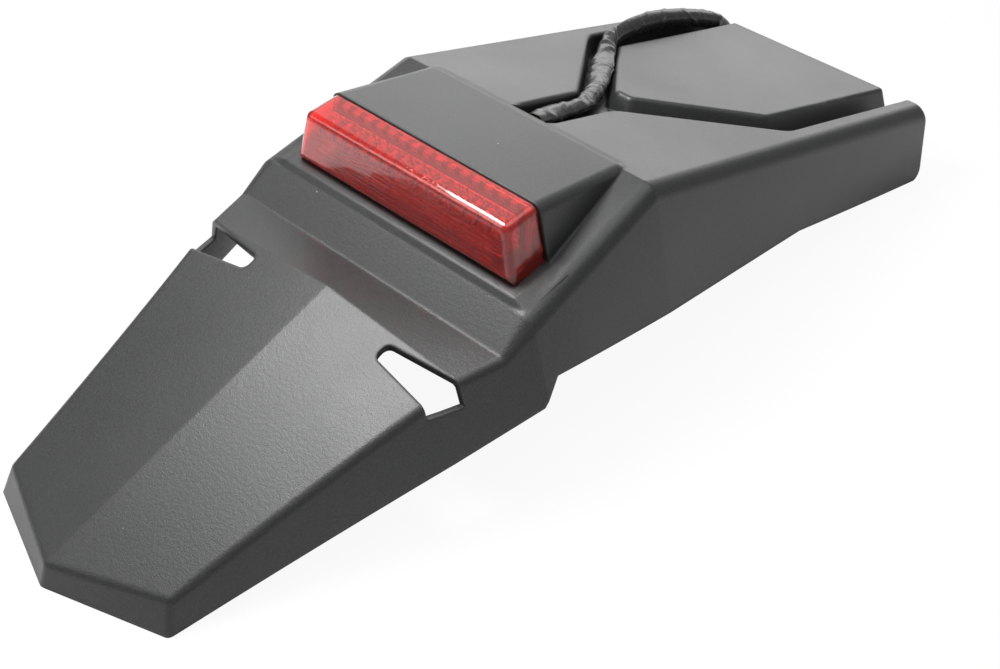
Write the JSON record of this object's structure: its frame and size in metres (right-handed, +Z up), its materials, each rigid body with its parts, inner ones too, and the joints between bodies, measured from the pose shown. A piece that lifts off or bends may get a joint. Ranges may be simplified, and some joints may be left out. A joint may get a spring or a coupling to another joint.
{
  "type": "motorcycle rear fender with tail lamp",
  "caption": "Long angular black plastic rear fender for an off-road motorcycle, with a red tail lamp under a hood, bracket notches and a sleeved wiring lead lying on its deck.",
  "frame": {"origin": "on the table plane under the middle of the fender's length and width", "axes": "+X across the machine to its right, +Y to its front, +Z up; the tail rim and the two front toes stand on Z = 0"},
  "size_m": [0.176, 0.4705, 0.0994],
  "materials": {
    "shell_plastic": "fine spark-eroded grain",
    "red_lens": "clear moulded",
    "housing_plastic": "as moulded",
    "reflector_plating": "bright plated",
    "board": "solder resist",
    "led_resin": "clear cast",
    "screw_steel": "zinc plated",
    "wire_yellow": "extruded",
    "wire_black": "extruded",
    "wire_red": "extruded",
    "sleeve_vinyl": "crumpled vinyl",
    "connector_plastic": "as moulded"
  },
  "bodies": {
    "root": {"fender_shell": "shell_plastic", "lamp_lens": "red_lens", "lamp_housing": "housing_plastic", "reflector": "reflector_plating", "led_board": "board", "leds": "led_resin", "lamp_screws": "screw_steel", "wire_yellow": "wire_yellow", "wire_black": "wire_black", "wire_red": "wire_red", "cable_sleeve": "sleeve_vinyl", "lead_connector": "connector_plastic"}
  },
  "joints": []
}
